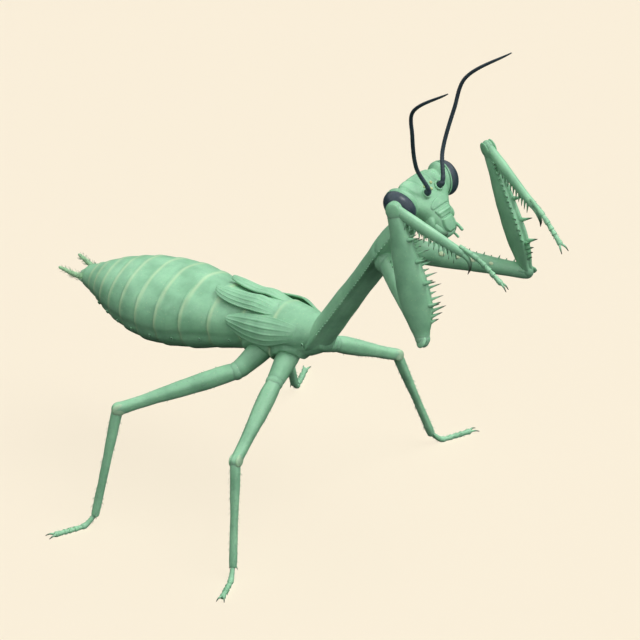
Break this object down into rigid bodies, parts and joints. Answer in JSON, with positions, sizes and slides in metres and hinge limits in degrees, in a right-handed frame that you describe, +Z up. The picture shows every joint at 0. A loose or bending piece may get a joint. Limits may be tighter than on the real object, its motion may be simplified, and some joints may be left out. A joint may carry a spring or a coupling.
{
  "type": "praying mantis",
  "caption": "Life-size still model of a green praying mantis nymph with wing pads, standing on its walking legs with its spined grasping legs raised half open.",
  "frame": {"origin": "on the floor, under the middle of the box that holds the whole animal", "axes": "+Z up; the head points to -Y and the abdomen's tip to +Y; +X to the animal's left"},
  "size_m": [0.068, 0.0906, 0.0867],
  "materials": {
    "green_cuticle": "satin, pale mint green, finely grained cuticle",
    "soft_green_cuticle": "matt, slightly duller green",
    "compound_eye": "glossy dark slate with fine facets",
    "antenna_slate": "dull dark slate blue"
  },
  "bodies": {
    "root": {"abdomen": "green_cuticle", "thorax": "green_cuticle", "prothorax": "green_cuticle", "head": "green_cuticle", "neck": "soft_green_cuticle", "eye_left": "compound_eye", "eye_right": "compound_eye", "antenna_left": "antenna_slate", "palp_left": "green_cuticle", "cercus_left": "soft_green_cuticle", "wing_pad_fore_left": "green_cuticle", "wing_pad_hind_left": "green_cuticle", "antenna_right": "antenna_slate", "palp_right": "green_cuticle", "cercus_right": "soft_green_cuticle", "wing_pad_fore_right": "green_cuticle", "wing_pad_hind_right": "green_cuticle", "fore_coxa_left": "green_cuticle", "fore_femur_left": "green_cuticle", "fore_tibia_left": "green_cuticle", "fore_tarsus_left": "soft_green_cuticle", "fore_coxa_right": "green_cuticle", "fore_femur_right": "green_cuticle", "fore_tibia_right": "green_cuticle", "fore_tarsus_right": "soft_green_cuticle", "mid_coxa_left": "green_cuticle", "mid_femur_left": "green_cuticle", "mid_tibia_left": "green_cuticle", "mid_tarsus_left": "soft_green_cuticle", "mid_coxa_right": "green_cuticle", "mid_femur_right": "green_cuticle", "mid_tibia_right": "green_cuticle", "mid_tarsus_right": "soft_green_cuticle", "hind_coxa_left": "green_cuticle", "hind_femur_left": "green_cuticle", "hind_tibia_left": "green_cuticle", "hind_tarsus_left": "soft_green_cuticle", "hind_coxa_right": "green_cuticle", "hind_femur_right": "green_cuticle", "hind_tibia_right": "green_cuticle", "hind_tarsus_right": "soft_green_cuticle"}
  },
  "joints": []
}
